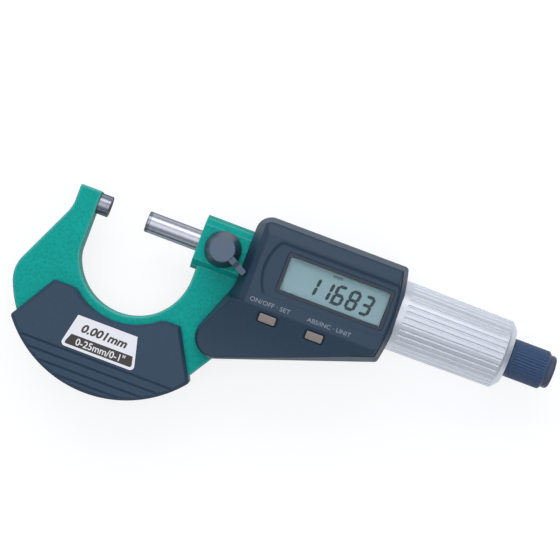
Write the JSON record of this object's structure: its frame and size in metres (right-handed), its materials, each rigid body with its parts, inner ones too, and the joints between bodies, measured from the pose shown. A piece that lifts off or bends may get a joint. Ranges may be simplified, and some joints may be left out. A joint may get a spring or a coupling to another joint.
{
  "type": "digital outside micrometer",
  "caption": "Digital outside micrometer, 0 to 25 mm: C-frame with grips, anvil, spindle, lock lever, display housing, fluted thimble and ratchet.",
  "frame": {"origin": "centre of the anvil's measuring face", "axes": "+X along the measuring axis towards the ratchet, +Y towards the display's top edge, +Z out of the display"},
  "size_m": [0.1606, 0.0683, 0.0294],
  "materials": {
    "enamel": "hammered gloss enamel",
    "ground_steel": "ground and lapped",
    "carbide": "lapped",
    "grip_plastic": "fine satin",
    "housing_plastic": "fine satin",
    "knob_plastic": "satin",
    "label_plate": "printed plate",
    "window": "clear",
    "lcd": "liquid crystal glass with film",
    "button": "moulded",
    "rubber": "moulded",
    "board": "glass fibre laminate",
    "chip": "epoxy",
    "brass": "turned",
    "bright_steel": "bright",
    "thimble": "satin chrome",
    "ratchet": "knurled",
    "spring_steel": "drawn"
  },
  "bodies": {
    "body": {"frame": "enamel", "anvil": "ground_steel", "anvil_tip": "carbide", "spindle_bush": "brass", "grip_front": "grip_plastic", "grip_rear": "grip_plastic", "grip_screws": "bright_steel", "range_label": "label_plate", "housing_front": "housing_plastic", "housing_rear": "housing_plastic", "housing_screws": "bright_steel", "display_window": "window", "lcd_panel": "lcd", "zebra_strip": "rubber", "circuit_board": "board", "board_chips": "chip", "tact_switches": "bright_steel", "stator_board": "board", "battery": "bright_steel", "battery_contact_plus": "spring_steel", "battery_contact_minus": "spring_steel", "inner_sleeve": "ground_steel", "adjusting_nut": "brass"},
    "lock_knob": {"lock_lever": "knob_plastic", "lock_stud": "bright_steel"},
    "pad": {"lock_pad": "brass"},
    "power_key": {"button_power_set": "button"},
    "mode_key": {"button_mode_unit": "button"},
    "battery_door": {"battery_cap": "knob_plastic", "battery_seal": "rubber"},
    "rotor": {"rotor_disc": "board", "rotor_hub": "brass", "drive_key": "ground_steel"},
    "spindle_drum": {"spindle": "ground_steel", "spindle_tip": "carbide", "thimble": "thimble", "thimble_collar": "brass", "ratchet_stem": "ground_steel", "ratchet_clip": "spring_steel"},
    "ratchet_hand": {"ratchet_knob": "ratchet", "ratchet_cap": "ratchet", "ratchet_spring": "spring_steel"},
    "clutch": {"ratchet_ring": "ground_steel"}
  },
  "joints": [
    {"name": "spindle_turn", "type": "hinge", "parent": "body", "child": "rotor", "pos_m": [0.055, 0, 0], "axis": [1, 0, 0], "range_deg": [-8411.8, 9588.3]},
    {"name": "spindle_feed", "type": "slide", "parent": "rotor", "child": "spindle_drum", "axis": [1, 0, 0], "range_m": [-0.01168, 0.01332]},
    {"name": "ratchet_turn", "type": "hinge", "parent": "spindle_drum", "child": "ratchet_hand", "pos_m": [0.132, 0, 0], "axis": [1, 0, 0], "continuous": true},
    {"name": "ratchet_click", "type": "slide", "parent": "ratchet_hand", "child": "clutch", "axis": [1, 0, 0], "range_m": [0, 0.00055], "stiffness_N_per_m": 500, "deforming": ["ratchet_spring"]},
    {"name": "lock_turn", "type": "hinge", "parent": "body", "child": "lock_knob", "pos_m": [0.036, 0, 0.01], "axis": [0, 0, 1], "range_deg": [-75, 0]},
    {"name": "pad_press", "type": "slide", "parent": "body", "child": "pad", "axis": [0, 0, -1], "range_m": [0, 0.0001]},
    {"name": "power_press", "type": "slide", "parent": "body", "child": "power_key", "axis": [0, 0, -1], "range_m": [0, 0.0003], "stiffness_N_per_m": 400},
    {"name": "mode_press", "type": "slide", "parent": "body", "child": "mode_key", "axis": [0, 0, -1], "range_m": [0, 0.0003], "stiffness_N_per_m": 400},
    {"name": "battery_cap_turn", "type": "hinge", "parent": "body", "child": "battery_door", "pos_m": [0.0525, -0.0186, -0.012], "axis": [0, 0, -1], "range_deg": [0, 60]}
  ],
  "couplings": [
    {"joint": "spindle_turn", "follows": "spindle_feed", "rad_per_m": 12566},
    {"joint": "lock_turn", "follows": "pad_press", "rad_per_m": -13090}
  ]
}
